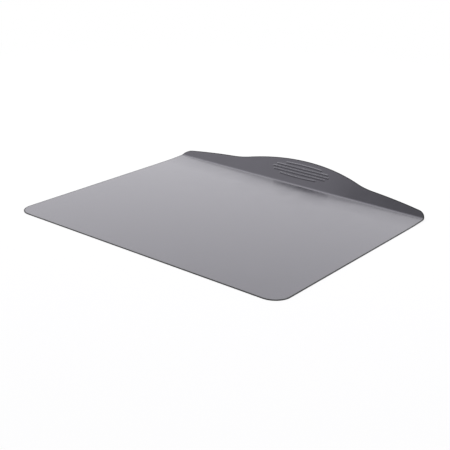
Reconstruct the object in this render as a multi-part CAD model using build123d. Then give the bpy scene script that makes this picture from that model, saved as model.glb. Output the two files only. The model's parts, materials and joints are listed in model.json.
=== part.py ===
"""Rimless cookie sheet: one pressed steel sheet with a raised handle flange, non-stick coated.

X runs across the sheet, Y from the front edge to the handle, Z up from the underside.
The origin is the middle of the underside, at the centre of the overall width and depth.
A level is a height inside the flat sheet: zero is the underside, sheet_thickness the top.
A reach is a distance up the flange's top face, from the line where the bend ends.
"""

import os
from math import atan, atan2, cos, degrees, hypot, radians, sin

from build123d import *

# The sheet
sheet_width = 406.4
overall_depth = 355.6
front_corner_radius = 21.0
steel_thickness = 0.9
cooking_coat_thickness = 0.05
underside_coat_thickness = 0.05

# The flat's gentle rise before the bend
lead_angle = 3.0
lead_length = 40.0

# The bend and the handle flange
flange_tilt = 35.0
bend_radius = 8.0
crown_reach = 40.7
hump_half_width = 103.0
hump_foot_reach = 20.9
hump_blend_radius = 112.0
wing_tip_reach = 7.4
wing_bulge = 1.5
shoulder_radius = 15.5

# The ribs of the grip
grip_centre_reach = 21.3
rib_pitch = 4.8
rib_width = 4.4
rib_height = 0.75
rib_crest_radius = 1.6
rib_half_length = 47.5
rib_length_shares = (0.65, 0.925, 1.0, 0.925, 0.65)
outer_rib_bow = 1.2
rib_bow_shares = (-1, 0, 0, 0, 1)

# How far a cutting or trimming shape runs past what it trims
overrun = 5.0

# Levels inside the sheet
sheet_thickness = underside_coat_thickness + steel_thickness + cooking_coat_thickness
steel_bottom_level = underside_coat_thickness
steel_top_level = underside_coat_thickness + steel_thickness

# Places in the side view, and the frame of the flange's top face
tilt = radians(flange_tilt)
lead_tilt = radians(lead_angle)
lead_radius = lead_length / lead_tilt
front_y = -overall_depth / 2
handle_reach_y = crown_reach * cos(tilt) + sheet_thickness * sin(tilt)
bend_end_y = overall_depth / 2 - handle_reach_y
bend_centre_y = bend_end_y - bend_radius * sin(tilt)
lead_start_y = bend_centre_y - (lead_radius - bend_radius) * sin(lead_tilt)
lead_centre_z = sheet_thickness + lead_radius
bend_centre_z = lead_centre_z - (lead_radius - bend_radius) * cos(lead_tilt)
bend_end_z = bend_centre_z - bend_radius * cos(tilt)
flange_plane = Plane(
    origin=(0, bend_end_y, bend_end_z),
    x_dir=(1, 0, 0),
    z_dir=(0, -sin(tilt), cos(tilt)),
)

# The flat part and the handle part meet where the sheet is still flat and its sides straight
joint_y = lead_start_y - shoulder_radius


def nearest_vertex(face, x, y):
    """Vertex of a flat face that lies nearest to a point."""
    return min(face.vertices(), key=lambda v: hypot(v.X - x, v.Y - y))


def lead_point(level, angle):
    """Point of the gentle rise's profile on a level, at an angle from the flat sheet."""
    radius = lead_radius + sheet_thickness - level
    return (lead_start_y + radius * sin(angle), lead_centre_z - radius * cos(angle))


def bend_point(level, angle):
    """Point of the bend's profile on a level, at an angle from the flat sheet."""
    radius = bend_radius + sheet_thickness - level
    return (bend_centre_y + radius * sin(angle), bend_centre_z - radius * cos(angle))


def slope_point(level, reach):
    """Point of the flange's profile on a level, at a reach up the slope."""
    foot_y, foot_z = bend_point(level, tilt)
    return (foot_y + reach * cos(tilt), foot_z + reach * sin(tilt))


def handle_profile(low, high):
    """Side view of the bent sheet between two levels, from the joint to past the crown."""
    past_crown = crown_reach + overrun
    edges = [
        Line((joint_y, low), (joint_y, high)),
        Line(slope_point(low, past_crown), slope_point(high, past_crown)),
    ]
    for level in (low, high):
        edges += [
            Line((joint_y, level), lead_point(level, 0)),
            ThreePointArc(*(lead_point(level, lead_tilt * share) for share in (0, 0.5, 1))),
            ThreePointArc(
                bend_point(level, lead_tilt),
                bend_point(level, (lead_tilt + tilt) / 2),
                bend_point(level, tilt),
            ),
            Line(bend_point(level, tilt), slope_point(level, past_crown)),
        ]
    return Plane.YZ * make_face(edges)


def wing_edge(side):
    """Gently arched top edge of one wing, from the hump's foot out to the shoulder."""
    foot = Vector(side * hump_half_width, hump_foot_reach)
    tip = Vector(side * sheet_width / 2, wing_tip_reach)
    run = tip - foot
    outward = Vector(-run.Y, run.X).normalized() * side
    return ThreePointArc(foot, (foot + tip) * 0.5 + outward * wing_bulge, tip)


def handle_outline(inset):
    """Outline of the handle, seen square to the flange: hump, wings and rounded shoulders."""
    side_x = sheet_width / 2
    low_reach = -(bend_radius + lead_length + 2 * shoulder_radius + overrun)
    hump = ThreePointArc(
        (-hump_half_width, hump_foot_reach), (0, crown_reach), (hump_half_width, hump_foot_reach)
    )
    sides = Polyline(
        (side_x, wing_tip_reach), (side_x, low_reach), (-side_x, low_reach), (-side_x, wing_tip_reach)
    )
    face = make_face([wing_edge(-1), hump, wing_edge(1), sides])
    feet = [nearest_vertex(face, side * hump_half_width, hump_foot_reach) for side in (-1, 1)]
    face = fillet(feet, hump_blend_radius)
    shoulders = [nearest_vertex(face, side * side_x, wing_tip_reach) for side in (-1, 1)]
    face = fillet(shoulders, shoulder_radius)
    return offset(face, amount=-inset) if inset else face


def handle_sheet(low, high, inset):
    """Handle end of the sheet between two levels: the bent strip trimmed to the outline."""
    strip = extrude(handle_profile(low, high), sheet_width / 2 + overrun, both=True)
    height = crown_reach + bend_radius + lead_length + shoulder_radius + overrun
    prism = extrude(flange_plane * handle_outline(inset), height, both=True)
    return strip & prism


def flat_sheet(low, high, inset):
    """Flat part of the sheet between two levels, up to the joint with the handle part."""
    side_x = sheet_width / 2 - inset
    front = front_y + inset
    corners = ((-side_x, front), (side_x, front), (side_x, joint_y), (-side_x, joint_y))
    face = make_face(Polyline(*corners, close=True))
    front_corners = [nearest_vertex(face, side * side_x, front) for side in (-1, 1)]
    face = fillet(front_corners, front_corner_radius - inset)
    return extrude(Plane.XY.offset(low) * face, high - low)


def plain_sheet(low, high, inset):
    """Whole sheet between two levels, before the ribs are pressed."""
    return flat_sheet(low, high, inset) + handle_sheet(low, high, inset)


def rib_section(level, depth, first_side, last_side):
    """Cross-section of a rib pressed in a level, reaching a depth below that level.

    Crest and feet are arcs that meet at the steepest point, so that every level of the
    sheet follows the same curve and the sheet keeps its thickness. A side of zero stops
    the section at the rib's middle plane.
    """
    half_width = rib_width / 2
    steepest = 2 * atan(rib_height / half_width)
    crest_radius = rib_crest_radius - (sheet_thickness - level)
    foot_radius = half_width / sin(steepest) - crest_radius

    def crest_point(side, angle):
        return (side * crest_radius * sin(angle), rib_height - crest_radius * (1 - cos(angle)))

    def foot_point(side, angle):
        return (side * (half_width - foot_radius * sin(angle)), foot_radius * (1 - cos(angle)))

    edges = [Line((first_side * half_width, -depth), (last_side * half_width, -depth))]
    for side in (first_side, last_side):
        if side == 0:
            edges.append(Line((0, rib_height), (0, -depth)))
            continue
        foot = (side * half_width, 0)
        edges += [
            ThreePointArc((0, rib_height), crest_point(side, steepest / 2), crest_point(side, steepest)),
            ThreePointArc(foot_point(side, steepest), foot_point(side, steepest / 2), foot),
            Line(foot, (side * half_width, -depth)),
        ]
    return Plane.YZ * make_face(edges)


def rib_end(level, depth, side):
    """Half-round end of a rib, centred on the origin, towards one side in X."""
    section = rib_section(level, depth, min(0, -side), max(0, -side))
    return revolve(section, Axis.Z, 180)


def rib_bump(level, depth, half_run, bow):
    """Rib across X, from end centre to end centre, whose middle stands a bow up the slope."""
    turn = 2 * degrees(atan2(bow, half_run))
    if bow:
        path = ThreePointArc((half_run, 0), (0, bow), (-half_run, 0))
    else:
        path = Line((half_run, 0), (-half_run, 0))
    start = Pos(half_run, 0, 0) * Rot(0, 0, -turn)
    rib = sweep(start * rib_section(level, depth, -1, 1), path)
    for side in (-1, 1):
        rib += Pos(side * half_run, 0, 0) * Rot(0, 0, -side * turn) * rib_end(level, depth, side)
    return rib


def rib_bumps(level, depth):
    """All ribs of the grip as bumps on one level, each reaching a depth below it."""
    level_plane = flange_plane.offset(level - sheet_thickness)
    middle_number = (len(rib_length_shares) - 1) / 2
    bumps = []
    for number, length_share in enumerate(rib_length_shares):
        reach = grip_centre_reach + (number - middle_number) * rib_pitch
        half_run = rib_half_length * length_share - rib_width / 2
        bow = outer_rib_bow * rib_bow_shares[number]
        bumps.append(level_plane * Pos(0, reach, 0) * rib_bump(level, depth, half_run, bow))
    return bumps


def pressed_sheet(low, high, inset):
    """Whole sheet between two levels, with the ribs pressed through it."""
    sheet = plain_sheet(low, high, inset)
    sheet += rib_bumps(high, (high - low) / 2)
    return sheet - rib_bumps(low, overrun)


def steel_sheet():
    """Pressed carbon steel core, which carries the shape."""
    return pressed_sheet(steel_bottom_level, steel_top_level, cooking_coat_thickness)


def cooking_coat():
    """Non-stick coat on the top face, drawn down over the cut edge of the steel."""
    top = pressed_sheet(steel_top_level, sheet_thickness, 0)
    edge = plain_sheet(steel_bottom_level, steel_top_level, 0)
    edge -= plain_sheet(steel_bottom_level, steel_top_level, cooking_coat_thickness)
    return top + edge


def underside_coat():
    """Non-stick coat on the face that lies on the oven rack."""
    return pressed_sheet(0, underside_coat_thickness, 0)


os.makedirs("parts", exist_ok=True)
export_step(steel_sheet(), "parts/steel_sheet.step")
export_step(cooking_coat(), "parts/cooking_coat.step")
export_step(underside_coat(), "parts/underside_coat.step")
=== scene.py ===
"""Rimless cookie sheet: the look of its coats, with a pale floor, soft light and a camera.

Lengths are in metres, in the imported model's frame: X across the sheet, Y from the front edge
to the handle, Z up from the underside.
A level is a height inside the flat sheet: zero is the underside.
A reach is a distance along the top face, measured from the line where the bend ends up the
flange. Round the bend and on the flat it is below zero, as on the blank before it is bent.
A rise is the same place seen square to the flange, which is how the outline is trimmed.
"""

import json
from bisect import bisect
from math import acos, asin, atan, atan2, ceil, cos, pi, radians, sin, sqrt

import bpy
from mathutils import Matrix, Quaternion, Vector
from mathutils.geometry import delaunay_2d_cdt

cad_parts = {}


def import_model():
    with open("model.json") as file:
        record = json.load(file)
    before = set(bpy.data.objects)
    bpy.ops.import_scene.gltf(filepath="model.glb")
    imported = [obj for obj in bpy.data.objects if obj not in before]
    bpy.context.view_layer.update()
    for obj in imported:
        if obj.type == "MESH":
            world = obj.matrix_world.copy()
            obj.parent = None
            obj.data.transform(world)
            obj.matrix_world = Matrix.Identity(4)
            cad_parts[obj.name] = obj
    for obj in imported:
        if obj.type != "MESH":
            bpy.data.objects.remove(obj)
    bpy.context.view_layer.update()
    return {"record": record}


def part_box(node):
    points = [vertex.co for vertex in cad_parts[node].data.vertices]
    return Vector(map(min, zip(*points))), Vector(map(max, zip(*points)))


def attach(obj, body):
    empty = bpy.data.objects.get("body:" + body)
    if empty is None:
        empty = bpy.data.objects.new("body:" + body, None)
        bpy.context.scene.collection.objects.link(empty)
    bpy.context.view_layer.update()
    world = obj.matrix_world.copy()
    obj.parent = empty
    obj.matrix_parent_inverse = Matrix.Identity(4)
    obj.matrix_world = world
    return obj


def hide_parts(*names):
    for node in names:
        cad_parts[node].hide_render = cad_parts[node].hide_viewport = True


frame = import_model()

# The sheet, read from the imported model
baking_face = next(m for m in frame["record"]["mounts"] if m["name"] == "baking_face")
low_corner, high_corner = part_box("cooking_coat")
half_width = high_corner.x
front_y = low_corner.y
sheet_thickness = baking_face["pos_m"][2]

# The sheet's front corners
front_corner_radius = 0.021

# The coats, how much they round the cut edge, and their matt rim along it, whose near-black tone
# is painted shade of the cut edge
coat_thickness = 0.00005
edge_radius = 0.00015
core_edge_radius = edge_radius - coat_thickness
painted_shade_rim_width = 0.0013

# The flat's gentle rise before the bend
lead_angle = radians(3.0)
lead_length = 0.040

# The bend and the handle flange
tilt = radians(35.0)
bend_radius = 0.008
crown_reach = 0.0407
hump_half_width = 0.103
hump_foot_reach = 0.0209
hump_blend_radius = 0.112
wing_tip_reach = 0.0074
wing_bulge = 0.0015
shoulder_radius = 0.0155

# The ribs of the grip
grip_centre_reach = 0.0213
rib_pitch = 0.0048
rib_half_width = 0.0022
rib_height = 0.00075
rib_crest_radius = 0.0016
rib_half_length = 0.0475
rib_length_shares = (0.65, 0.925, 1.0, 0.925, 0.65)
outer_rib_bow = 0.0012
rib_bow_shares = (-1, 0, 0, 0, 1)
rib_steepest = 2 * atan(rib_height / rib_half_width)

# Places in the side view, and the front edge as a reach
lead_radius = lead_length / lead_angle
bend_end_y = -front_y - crown_reach * cos(tilt) - sheet_thickness * sin(tilt)
bend_centre_y = bend_end_y - bend_radius * sin(tilt)
lead_start_y = bend_centre_y - (lead_radius - bend_radius) * sin(lead_angle)
lead_centre_z = sheet_thickness + lead_radius
bend_centre_z = lead_centre_z - (lead_radius - bend_radius) * cos(lead_angle)
bend_end_z = bend_centre_z - bend_radius * cos(tilt)
bend_length = bend_radius * (tilt - lead_angle)
bend_foot_rise = -bend_radius * sin(tilt - lead_angle)
front_reach = front_y - lead_start_y - lead_length - bend_length

# How finely the meshes are divided
bend_rows = 16
lead_rows = 12
flange_spacing = 0.004
flat_spacing = 0.016
rib_spacing = 0.002
rib_end_steps = 10
rib_offsets = (0.00025, 0.00045, 0.0008, 0.0012, 0.00155, 0.0019, rib_half_width)
rib_clearance = 0.0010
edge_clearance = 0.0025
front_corner_steps = 12
shoulder_steps = 14
blend_steps = 8
edge_steps = 5
seam_steps = 4
underside_edge_steps = 3

# The camera
view_azimuth = radians(37.745)
view_elevation = radians(21.351)
view_roll = radians(1.618)
view_target = Vector((0.0241, -0.0397, 0.0))
view_distance = 1.1540
image_width_pixels = 450
focal_length_pixels = 931.6
sensor_width_mm = 36.0


def spread(start, end, count):
    """Evenly spaced values from start to end, both included."""
    return [start + (end - start) * step / count for step in range(count + 1)]


def steps_for(length, spacing):
    """How many steps of about a spacing make up a length."""
    return max(1, ceil(length / spacing))


def profile(reach):
    """Y and Z of the top face at a reach, and the slope's angle there."""
    if reach >= 0:
        return bend_end_y + reach * cos(tilt), bend_end_z + reach * sin(tilt), tilt
    angle = tilt + reach / bend_radius
    if angle >= lead_angle:
        y = bend_centre_y + bend_radius * sin(angle)
        return y, bend_centre_z - bend_radius * cos(angle), angle
    angle = lead_angle + (reach + bend_length) / lead_radius
    if angle >= 0:
        y = lead_start_y + lead_radius * sin(angle)
        return y, lead_centre_z - lead_radius * cos(angle), angle
    return lead_start_y + lead_radius * angle, sheet_thickness, 0.0


def sheet_place(across, reach, level):
    """Point of the plain bent sheet on a level, with its upward and its uphill direction."""
    y, z, angle = profile(reach)
    up = Vector((0, -sin(angle), cos(angle)))
    uphill = Vector((0, cos(angle), sin(angle)))
    return Vector((across, y, z)) - up * (sheet_thickness - level), up, uphill


def reach_at(rise):
    """Reach of a place at a rise, and how fast reach grows with rise there."""
    if rise >= 0:
        return rise, 1.0
    if rise >= bend_foot_rise:
        angle = tilt + asin(rise / bend_radius)
        return bend_radius * (angle - tilt), 1 / cos(tilt - angle)
    angle = tilt - asin(sin(tilt - lead_angle) + (bend_foot_rise - rise) / lead_radius)
    return lead_radius * (angle - lead_angle) - bend_length, 1 / cos(tilt - angle)


def circle_through(a, b, c):
    """Centre and radius of the circle through three points."""
    d = 2 * (a.x * (b.y - c.y) + b.x * (c.y - a.y) + c.x * (a.y - b.y))
    squares = (a.length_squared, b.length_squared, c.length_squared)
    x = squares[0] * (b.y - c.y) + squares[1] * (c.y - a.y) + squares[2] * (a.y - b.y)
    y = squares[0] * (c.x - b.x) + squares[1] * (a.x - c.x) + squares[2] * (b.x - a.x)
    centre = Vector((x / d, y / d))
    return centre, (a - centre).length


def upper_crossing(centre_a, radius_a, centre_b, radius_b):
    """The higher of the two points that lie on two circles."""
    between = centre_b - centre_a
    distance = between.length
    along = (radius_a**2 - radius_b**2 + distance**2) / (2 * distance)
    aside = sqrt(radius_a**2 - along**2)
    direction = between / distance
    middle = centre_a + direction * along
    sideways = Vector((-direction.y, direction.x)) * aside
    return max(middle + sideways, middle - sideways, key=lambda point: point.y)


def heading(start, end):
    """Angle of the direction from one point to another."""
    return atan2(end.y - start.y, end.x - start.x)


def arc(centre, radius, angles, outward=1):
    """Points of an arc, each with the direction that leads out of the outline."""
    directions = [Vector((cos(angle), sin(angle))) for angle in angles]
    return [(centre + direction * radius, direction * outward) for direction in directions]


def handle_edge():
    """Right half of the handle's outline by rise, from the shoulder's foot to the crown."""
    foot = Vector((hump_half_width, hump_foot_reach))
    tip = Vector((half_width, wing_tip_reach))
    run = tip - foot
    bulge = Vector((-run.y, run.x)).normalized() * wing_bulge
    wing_centre, wing_radius = circle_through(foot, (foot + tip) / 2 + bulge, tip)
    hump_centre, hump_radius = circle_through(
        foot, Vector((0, crown_reach)), Vector((-hump_half_width, hump_foot_reach))
    )
    blend_centre = upper_crossing(
        hump_centre,
        hump_radius + hump_blend_radius,
        wing_centre,
        wing_radius + hump_blend_radius,
    )
    shoulder_x = half_width - shoulder_radius
    drop = sqrt((wing_radius - shoulder_radius) ** 2 - (shoulder_x - wing_centre.x) ** 2)
    shoulder_centre = Vector((shoulder_x, wing_centre.y + drop))

    row_angles = spread(lead_angle, tilt, bend_rows)
    row_rises = [-bend_radius * sin(tilt - angle) for angle in row_angles]
    row_turns = [asin((rise - shoulder_centre.y) / shoulder_radius) for rise in row_rises]
    wing_start = heading(wing_centre, shoulder_centre)
    wing_end = heading(wing_centre, blend_centre)
    hump_start = heading(hump_centre, blend_centre)
    blend_turns = (heading(blend_centre, wing_centre), heading(blend_centre, hump_centre))
    wing_steps = steps_for(wing_radius * (wing_end - wing_start), flange_spacing)
    hump_steps = steps_for(hump_radius * (pi / 2 - hump_start), flange_spacing)
    shoulder_turns = [0.0, *row_turns, *spread(row_turns[-1], wing_start, shoulder_steps)[1:]]
    return [
        *arc(shoulder_centre, shoulder_radius, shoulder_turns),
        *arc(wing_centre, wing_radius, spread(wing_start, wing_end, wing_steps)[1:]),
        *arc(blend_centre, hump_blend_radius, spread(*blend_turns, blend_steps)[1:], -1),
        *arc(hump_centre, hump_radius, spread(hump_start, pi / 2, hump_steps)[1:]),
    ]


def unbent(point, outward):
    """A point and direction of the outline by rise, as they lie on the unbent blank."""
    reach, growth = reach_at(point.y)
    return Vector((point.x, reach)), Vector((outward.x * growth, outward.y)).normalized()


def blank_outline():
    """Outline of the unbent blank, once round, each point with its outward direction."""
    handle = [unbent(point, outward) for point, outward in handle_edge()]
    corner_centre = Vector(
        (half_width - front_corner_radius, front_reach + front_corner_radius)
    )
    front_steps = steps_for(corner_centre.x, flat_spacing)
    front = [
        (Vector((x, front_reach)), Vector((0, -1)))
        for x in spread(0, corner_centre.x, front_steps)[:-1]
    ]
    corner_turns = spread(-pi / 2, 0, front_corner_steps)
    corner = arc(corner_centre, front_corner_radius, corner_turns)
    side_end = handle[0][0].y
    side_steps = steps_for(side_end - corner_centre.y, flat_spacing)
    side = [
        (Vector((half_width, reach)), Vector((1, 0)))
        for reach in spread(corner_centre.y, side_end, side_steps)[1:-1]
    ]
    right = front + corner + side + handle
    left = [
        (Vector((-point.x, point.y)), Vector((-outward.x, outward.y)))
        for point, outward in reversed(right[1:-1])
    ]
    return right + left


class Rib:
    """One rib of the grip: a centreline across the flange, straight or slightly bowed."""

    def __init__(self, number):
        place = number - (len(rib_length_shares) - 1) / 2
        self.reach = grip_centre_reach + place * rib_pitch
        self.half_run = rib_half_length * rib_length_shares[number] - rib_half_width
        self.bow = outer_rib_bow * rib_bow_shares[number]
        self.side = 1 if self.bow >= 0 else -1
        self.radius = 0.0
        self.half_turn = 0.0
        if self.bow:
            self.radius = (self.half_run**2 + self.bow**2) / (2 * abs(self.bow))
            self.half_turn = asin(self.half_run / self.radius)

    def point(self, share):
        """Centreline point at a share of the half run, and the direction square to it."""
        if not self.bow:
            return Vector((self.half_run * share, self.reach)), Vector((0, 1))
        turn = self.half_turn * share
        square = Vector((sin(turn), self.side * cos(turn)))
        centre = Vector((0, self.reach + self.bow - self.side * self.radius))
        return centre + square * self.radius, square

    def share_beside(self, place):
        """Share of the half run at which the centreline is nearest to a place."""
        if not self.bow:
            share = place.x / self.half_run
        else:
            centre_reach = self.reach + self.bow - self.side * self.radius
            turn = atan2(place.x, self.side * (place.y - centre_reach))
            share = turn / self.half_turn
        return max(-1.0, min(1.0, share))

    def offset(self, place):
        """Vector from the nearest point of the centreline to a place."""
        return place - self.point(self.share_beside(place))[0]


ribs = [Rib(number) for number in range(len(rib_length_shares))]


def rib_rise(level, distance):
    """Rise of a rib on a level at a distance from its centreline, and its slope there.

    The crest and the foot are arcs that meet at the steepest point. The crest's arc is
    tighter on lower levels, so the sheet keeps its thickness over the rib.
    """
    if distance >= rib_half_width:
        return 0.0, 0.0
    crest_radius = rib_crest_radius - (sheet_thickness - level)
    foot_radius = rib_half_width / sin(rib_steepest) - crest_radius
    if distance < crest_radius * sin(rib_steepest):
        depth = sqrt(crest_radius**2 - distance**2)
        return rib_height - crest_radius + depth, -distance / depth
    beside = rib_half_width - distance
    depth = sqrt(foot_radius**2 - beside**2)
    return foot_radius - depth, -beside / depth


def face_point(across, reach, level):
    """Point and upward direction of the pressed sheet on a level, ribs included."""
    point, up, uphill = sheet_place(across, reach, level)
    place = Vector((across, reach))
    for rib in ribs:
        offset = rib.offset(place)
        rise, slope = rib_rise(level, offset.length)
        if rise > 0:
            lean = offset.normalized() * slope
            point = point + up * rise
            up = (up - Vector((lean.x, 0, 0)) - uphill * lean.y).normalized()
    return point, up


def rib_places():
    """Mesh places on the ribs: rows beside each centreline, and fans round its ends."""
    places = []
    for rib in ribs:
        for share in spread(-1, 1, steps_for(2 * rib.half_run, rib_spacing)):
            centre, square = rib.point(share)
            places.append(centre)
            places += [centre + square * d * side for d in rib_offsets for side in (-1, 1)]
        for end in (-1, 1):
            centre, square = rib.point(end)
            outward = Vector((square.y, -square.x)) * end * rib.side
            for turn in spread(-pi / 2, pi / 2, rib_end_steps)[1:-1]:
                ray = outward * cos(turn) + square * sin(turn)
                places += [centre + ray * d for d in rib_offsets]
    return places


def flat_places():
    """Mesh places on the flat and its gentle rise, kept out of the front corners' squares."""
    columns = spread(-half_width, half_width, steps_for(2 * half_width, flat_spacing))[1:-1]
    flat_end = -bend_length - lead_length
    rows = spread(front_reach, flat_end, steps_for(flat_end - front_reach, flat_spacing))[1:]
    rows += spread(flat_end, -bend_length, lead_rows)[1:-1]
    corner_x = half_width - front_corner_radius
    corner_reach = front_reach + front_corner_radius
    return [
        Vector((x, reach))
        for reach in rows
        for x in columns
        if abs(x) < corner_x or reach > corner_reach
    ]


def bend_places():
    """Mesh places in rows round the bend."""
    side = half_width - edge_clearance
    columns = spread(-side, side, steps_for(2 * side, flange_spacing))
    rows = spread(-bend_length, 0, bend_rows)
    return [Vector((x, reach)) for reach in rows for x in columns]


def flange_places(outline):
    """Mesh places on the flange, clear of the ribs and of the outline."""
    upper = sorted((point.x, point.y) for point, outward in outline if point.y > 0)
    widths = [x for x, reach in upper]

    def edge_reach(x):
        index = bisect(widths, x)
        (x0, reach0), (x1, reach1) = upper[index - 1], upper[index]
        return reach0 + (reach1 - reach0) * (x - x0) / (x1 - x0)

    columns = spread(-half_width, half_width, steps_for(2 * half_width, flange_spacing))
    rows = spread(0, crown_reach, steps_for(crown_reach, flange_spacing))[1:]
    places = []
    for x in columns:
        beyond = abs(x) + edge_clearance
        if beyond >= widths[-1]:
            continue
        limit = edge_reach(beyond) - edge_clearance
        column = [Vector((x, reach)) for reach in rows if reach < limit]
        keep_out = rib_half_width + rib_clearance
        places += [p for p in column if all(rib.offset(p).length > keep_out for rib in ribs)]
    return places


def make_blank():
    """The unbent sheet as places, triangles and its ring of edge points, for every level.

    The triangles stop short of the cut edge by its rounding. The places start with two
    rings, the first beside that rounding and the second on the inner side of the rim.
    """
    outline = blank_outline()
    count = len(outline)
    places = [point - outward * edge_radius for point, outward in outline]
    places += [point - outward * painted_shade_rim_width for point, outward in outline]
    places += flat_places() + bend_places() + flange_places(outline) + rib_places()
    millimetre = 0.001
    scaled = [place / millimetre for place in places]
    ring = [(i, (i + 1) % count) for i in range(count)]
    inside_only = 1
    merge_distance = 1e-6
    found = delaunay_2d_cdt(scaled, ring, [], inside_only, merge_distance)
    sources = [origins[0] for origins in found[3]]
    triangles = [[sources[corner] for corner in face] for face in found[2]]
    return {"outline": outline, "places": places, "triangles": triangles}


def edge_turn(radius, start, end, steps):
    """Stretch of the rounded cut edge, as inset, level and lean away from the face."""
    upper = max(start, end) <= pi / 2
    centre_level = sheet_thickness - edge_radius if upper else edge_radius
    return [
        (edge_radius - radius * sin(lean), centre_level + radius * cos(lean), lean)
        for lean in spread(start, end, steps)
    ]


def layer_mesh(name, blank, upper_level, lower_level, edge):
    """Closed mesh of one layer between two levels, with its edge's stretches between.

    Its second material is for the rim: the cut edge, and the narrow band beside it, which on the
    coats is painted shade.
    """
    outline = blank["outline"]
    places = blank["places"]
    count = len(outline)
    points = []
    normals = []
    for level, facing in ((upper_level, 1), (lower_level, -1)):
        for place in places:
            point, up = face_point(place.x, place.y, level)
            points.append(point)
            normals.append(up * facing)
    for inset, level, lean in edge[1:-1]:
        for point, outward in outline:
            place = point - outward * inset
            middle, up, uphill = sheet_place(place.x, place.y, level)
            sideways = Vector((outward.x, 0, 0)) + uphill * outward.y
            points.append(middle)
            normals.append(up * cos(lean) + sideways * sin(lean))

    below = len(places)
    faces = [list(corners) for corners in blank["triangles"]]
    faces += [[corner + below for corner in reversed(corners)] for corners in blank["triangles"]]
    # The rim's faces take the second material, which on the coats is painted shade along the cut
    # edge.
    on_rim = [max(corners) < 2 * count for corners in blank["triangles"]] * 2
    rings = [0, *(2 * below + count * k for k in range(len(edge) - 2)), below]
    for first, second in zip(rings, rings[1:]):
        for i in range(count):
            j = (i + 1) % count
            faces.append([first + i, second + i, second + j, first + j])
            on_rim.append(True)

    mesh = bpy.data.meshes.new(name)
    mesh.from_pydata(points, [], faces)
    mesh.shade_smooth()
    mesh.normals_split_custom_set_from_vertices(normals)
    mesh.polygons.foreach_set("material_index", [int(flag) for flag in on_rim])
    return mesh


def place_layer(node, mesh, face_material, rim_material):
    """Puts a layer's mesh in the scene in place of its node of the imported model."""
    mesh.materials.append(face_material)
    mesh.materials.append(rim_material)
    piece = bpy.data.objects.new(mesh.name, mesh)
    bpy.context.scene.collection.objects.link(piece)
    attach(piece, "root")
    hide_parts(node)
    return piece


def steel_piece(blank):
    """Pressed steel core between the coats."""
    top = sheet_thickness - coat_thickness
    edge = edge_turn(core_edge_radius, 0, pi / 2, edge_steps)
    edge += edge_turn(core_edge_radius, pi / 2, pi, edge_steps)
    mesh = layer_mesh("pressed_steel_sheet", blank, top, coat_thickness, edge)
    steel = steel_material()
    piece = place_layer("steel_sheet", mesh, steel, steel)


def cooking_coat_piece(blank, seam_lean):
    """Non-stick coat of the top face, drawn down over the cut edge to its seam."""
    top = sheet_thickness - coat_thickness
    outside = edge_turn(edge_radius, 0, pi / 2, edge_steps)
    outside += edge_turn(edge_radius, pi / 2, seam_lean, seam_steps)
    inside = edge_turn(core_edge_radius, pi, pi / 2, edge_steps)
    inside += edge_turn(core_edge_radius, pi / 2, 0, edge_steps)
    edge = outside + [(inset, level, lean + pi) for inset, level, lean in inside]
    mesh = layer_mesh("cooking_side_coat", blank, sheet_thickness, top, edge)
    face = coat_material("cooking_coat", cooking_coat_look)
    # The rim material is painted shade: a near-black strip along the cut edge.
    rim = coat_material("cooking_coat_painted_shade_rim", painted_shade_rim_look)
    piece = place_layer("cooking_coat", mesh, face, rim)


def underside_coat_piece(blank, seam_lean):
    """Non-stick coat of the underside, up to its seam with the other coat."""
    start = (edge_radius, coat_thickness, 0.0)
    edge = [start] + edge_turn(edge_radius, seam_lean, pi, underside_edge_steps)
    mesh = layer_mesh("underside_coat_layer", blank, coat_thickness, 0.0, edge)
    face = coat_material("underside_coat", underside_coat_look)
    # The rim material is painted shade: a near-black strip along the cut edge.
    rim = coat_material("underside_coat_painted_shade_rim", painted_shade_rim_look)
    piece = place_layer("underside_coat", mesh, face, rim)


# The finish of the two coats and of their matt rim, whose near-black tone is painted shade along
# the cut edge: linear colours, and what varies over them
cooking_coat_look = {
    "dark": (0.037, 0.036, 0.0445),
    "light": (0.041, 0.040, 0.0490),
    "roughness": (0.14, 0.18),
    "specular_tint": (0.95, 0.93, 1.0),
    "ior": 1.5,
}
underside_coat_look = {
    "dark": (0.031, 0.030, 0.0365),
    "light": (0.035, 0.034, 0.0405),
    "roughness": (0.30, 0.38),
    "specular_tint": (0.95, 0.93, 1.0),
    "ior": 1.5,
}
# Painted shade: near-black colour on the cut edge and the band beside it, darkening the edge where
# shade falls.
painted_shade_rim_look = {
    "dark": (0.005, 0.005, 0.006),
    "light": (0.007, 0.007, 0.008),
    "roughness": (0.36, 0.44),
    "specular_tint": (1.0, 1.0, 1.0),
    "ior": 1.25,
}

# The coats' texture: features per metre, noise detail, and the bump's strength and height
mottle_noise = (28, 4)
peel_noise = (320, 1)
peel_bump = (0.25, 0.00004)
grain_noise = (1400, 2)
grain_bump = (0.35, 0.00001)

# The steel's look: linear colours, roughness, and streaks along the rolling direction
steel_dark = (0.50, 0.50, 0.51)
steel_light = (0.60, 0.60, 0.61)
steel_roughness = (0.25, 0.40)
streak_noise = (60, 4)
streak_stretch = (1.0, 40.0, 40.0)
streak_bump = (0.2, 0.00002)

# The middle stretch of a noise value that a range is spread over
noise_low = 0.3
noise_high = 0.7


def add_node(tree, kind, **settings):
    """New shader node with its properties and inputs set by name."""
    node = tree.nodes.new(kind)
    for key, value in settings.items():
        if key.startswith("in_"):
            node.inputs[key[3:].replace("_", " ")].default_value = value
        else:
            setattr(node, key, value)
    return node


def noise(tree, coordinates, features_per_metre, detail):
    """Noise texture on a socket's coordinates."""
    node = add_node(tree, "ShaderNodeTexNoise", in_Scale=features_per_metre, in_Detail=detail)
    tree.links.new(coordinates, node.inputs["Vector"])
    return node.outputs["Fac"]


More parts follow.
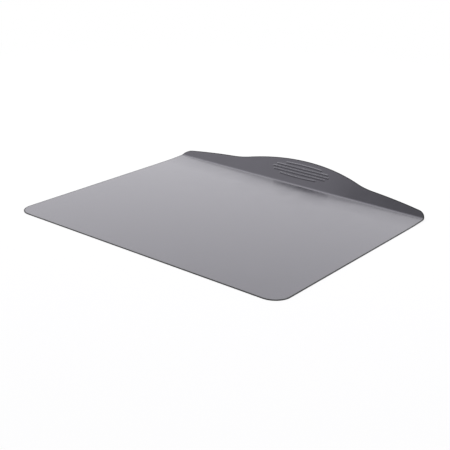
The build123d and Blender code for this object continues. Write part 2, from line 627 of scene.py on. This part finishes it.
def value_range(tree, value, low, high):
    """A noise value spread between the two ends of a range."""
    node = add_node(tree, "ShaderNodeMapRange")
    node.inputs["From Min"].default_value = noise_low
    node.inputs["From Max"].default_value = noise_high
    node.inputs["To Min"].default_value = low
    node.inputs["To Max"].default_value = high
    tree.links.new(value, node.inputs["Value"])
    return node.outputs["Result"]


def mixed_tone(tree, factor, dark, light):
    """Colour between a dark and a light tone by a factor."""
    node = add_node(tree, "ShaderNodeMix", data_type="RGBA")
    node.inputs["A"].default_value = (*dark, 1)
    node.inputs["B"].default_value = (*light, 1)
    tree.links.new(factor, node.inputs["Factor"])
    return node.outputs["Result"]


def bump(tree, value, strength, distance, before=None):
    """Bump from a noise value, on top of another bump if one is given."""
    node = add_node(tree, "ShaderNodeBump", in_Strength=strength, in_Distance=distance)
    tree.links.new(value, node.inputs["Height"])
    if before:
        tree.links.new(before, node.inputs["Normal"])
    return node.outputs["Normal"]


def new_material(name):
    """Empty node material, and its tree, shader and object coordinates."""
    material = bpy.data.materials.new(name)
    material.use_nodes = True
    tree = material.node_tree
    shader = tree.nodes["Principled BSDF"]
    coordinates = add_node(tree, "ShaderNodeTexCoord").outputs["Object"]
    return material, tree, shader, coordinates


def coat_material(name, look):
    """Non-stick coat: mottled tone and gloss, fine grain and slight orange peel."""
    material, tree, shader, coordinates = new_material(name)
    mottle = value_range(tree, noise(tree, coordinates, *mottle_noise), 0, 1)
    tone = mixed_tone(tree, mottle, look["dark"], look["light"])
    tree.links.new(tone, shader.inputs["Base Color"])
    tree.links.new(value_range(tree, mottle, *look["roughness"]), shader.inputs["Roughness"])
    shader.inputs["IOR"].default_value = look["ior"]
    shader.inputs["Specular Tint"].default_value = (*look["specular_tint"], 1)
    normal = bump(tree, noise(tree, coordinates, *peel_noise), *peel_bump)
    normal = bump(tree, noise(tree, coordinates, *grain_noise), *grain_bump, normal)
    tree.links.new(normal, shader.inputs["Normal"])
    return material


def steel_material():
    """Rolled steel: grey metal with fine streaks along the rolling direction."""
    material, tree, shader, coordinates = new_material("bare_steel")
    stretch = add_node(tree, "ShaderNodeMapping", in_Scale=streak_stretch)
    tree.links.new(coordinates, stretch.inputs["Vector"])
    streaks = noise(tree, stretch.outputs["Vector"], *streak_noise)
    tree.links.new(mixed_tone(tree, streaks, steel_dark, steel_light), shader.inputs["Base Color"])
    shader.inputs["Metallic"].default_value = 1.0
    tree.links.new(value_range(tree, streaks, *steel_roughness), shader.inputs["Roughness"])
    tree.links.new(bump(tree, streaks, *streak_bump), shader.inputs["Normal"])
    return material


# The studio. The floor is nearly white to the camera close to the sheet, and white far off.
floor_half_size = 6.0
floor_gap = 0.00005
floor_tone = (0.95, 0.95, 0.95)
floor_roughness = 0.9
near_white_share = 0.8
far_white_share = 1.0
near_distance = 0.3
far_distance = 1.2
fill_strength = 0.45

# The softboxes. Each is a panel: the two ends of its low edge, the slope up to its high edge,
# and its radiance.
softbox_tint = (0.99, 0.97, 1.04)
softboxes = {
    "left_softbox": ((-2.6, -1.6, 0.3), (-2.6, 0.46, 0.3), (1.44, 0.0, 2.0), 1.2),
    "low_back_softbox": ((-3.4, 3.0, 0.2), (1.6, 3.0, 0.2), (0.0, -1.392, 1.15), 1.14),
    "high_back_softbox": ((-3.4, 1.608, 1.35), (1.6, 1.608, 1.35), (0.0, -1.15, 0.95), 1.8),
}


def background_rays(tree):
    """One for the camera's, glossy and transmission rays, which see plain white."""
    path = add_node(tree, "ShaderNodeLightPath")
    total = path.outputs["Is Camera Ray"]
    for name in ("Is Glossy Ray", "Is Transmission Ray"):
        adding = add_node(tree, "ShaderNodeMath", operation="MAXIMUM")
        tree.links.new(total, adding.inputs[0])
        tree.links.new(path.outputs[name], adding.inputs[1])
        total = adding.outputs[0]
    return total


def floor():
    """Pale floor that the camera sees as nearly white, with the object's soft shadow."""
    sides = ((-1, -1), (1, -1), (1, 1), (-1, 1))
    corners = [(x * floor_half_size, y * floor_half_size, -floor_gap) for x, y in sides]
    mesh = bpy.data.meshes.new("studio_floor")
    mesh.from_pydata(corners, [], [(0, 1, 2, 3)])
    material, tree, shader, coordinates = new_material("studio_floor")
    shader.inputs["Base Color"].default_value = (*floor_tone, 1)
    shader.inputs["Roughness"].default_value = floor_roughness
    shader.inputs["Specular IOR Level"].default_value = 0.0
    white = add_node(tree, "ShaderNodeEmission", in_Color=(1, 1, 1, 1), in_Strength=1.0)
    distance = add_node(tree, "ShaderNodeVectorMath", operation="LENGTH")
    tree.links.new(coordinates, distance.inputs["Vector"])
    white_share = add_node(tree, "ShaderNodeMapRange", interpolation_type="SMOOTHSTEP")
    white_share.inputs["From Min"].default_value = near_distance
    white_share.inputs["From Max"].default_value = far_distance
    white_share.inputs["To Min"].default_value = near_white_share
    white_share.inputs["To Max"].default_value = far_white_share
    tree.links.new(distance.outputs["Value"], white_share.inputs["Value"])
    share = add_node(tree, "ShaderNodeMath", operation="MULTIPLY")
    tree.links.new(background_rays(tree), share.inputs[0])
    tree.links.new(white_share.outputs["Result"], share.inputs[1])
    mix = add_node(tree, "ShaderNodeMixShader")
    tree.links.new(share.outputs[0], mix.inputs["Fac"])
    tree.links.new(shader.outputs["BSDF"], mix.inputs[1])
    tree.links.new(white.outputs["Emission"], mix.inputs[2])
    tree.links.new(mix.outputs["Shader"], tree.nodes["Material Output"].inputs["Surface"])
    mesh.materials.append(material)
    plane = bpy.data.objects.new("studio_floor", mesh)
    bpy.context.scene.collection.objects.link(plane)


def world():
    """White surroundings for the camera and for reflections, and an even fill light."""
    scene_world = bpy.data.worlds.new("studio")
    scene_world.use_nodes = True
    tree = scene_world.node_tree
    background = tree.nodes["Background"]
    background.inputs["Color"].default_value = (1, 1, 1, 1)
    strength = add_node(tree, "ShaderNodeMapRange")
    strength.inputs["To Min"].default_value = fill_strength
    strength.inputs["To Max"].default_value = 1.0
    tree.links.new(background_rays(tree), strength.inputs["Value"])
    tree.links.new(strength.outputs["Result"], background.inputs["Strength"])
    bpy.context.scene.world = scene_world


def softbox(name, start, end, slope, radiance):
    """Rectangular soft light of an even radiance, on the panel above its low edge."""
    along = Vector(end) - Vector(start)
    up = Vector(slope)
    light = bpy.data.lights.new(name, "AREA")
    light.shape = "RECTANGLE"
    light.size = along.length
    light.size_y = up.length
    light.energy = radiance * pi * along.length * up.length
    light.color = softbox_tint
    back = up.cross(along)
    axes = (along.normalized(), back.cross(along).normalized(), back.normalized())
    lamp = bpy.data.objects.new(name, light)
    lamp.matrix_world = Matrix(axes).transposed().to_4x4()
    lamp.location = (Vector(start) + Vector(end) + up) / 2
    bpy.context.scene.collection.objects.link(lamp)


def camera():
    """Camera at the photograph's viewing angle."""
    level_reach = cos(view_elevation)
    back = Vector(
        (sin(view_azimuth) * level_reach, -cos(view_azimuth) * level_reach, sin(view_elevation))
    )
    lens = bpy.data.cameras.new("camera")
    lens.sensor_width = sensor_width_mm
    lens.lens = sensor_width_mm * focal_length_pixels / image_width_pixels
    viewer = bpy.data.objects.new("camera", lens)
    viewer.location = view_target + back * view_distance
    viewer.rotation_mode = "QUATERNION"
    viewer.rotation_quaternion = back.to_track_quat("Z", "Y") @ Quaternion((0, 0, 1), view_roll)
    bpy.context.scene.collection.objects.link(viewer)
    bpy.context.scene.camera = viewer


blank = make_blank()
seam_lean = acos((coat_thickness - edge_radius) / edge_radius)
steel_piece(blank)
cooking_coat_piece(blank, seam_lean)
underside_coat_piece(blank, seam_lean)
floor()
world()
for name, panel in softboxes.items():
    softbox(name, *panel)
camera()
bpy.context.scene.view_settings.view_transform = "Standard"
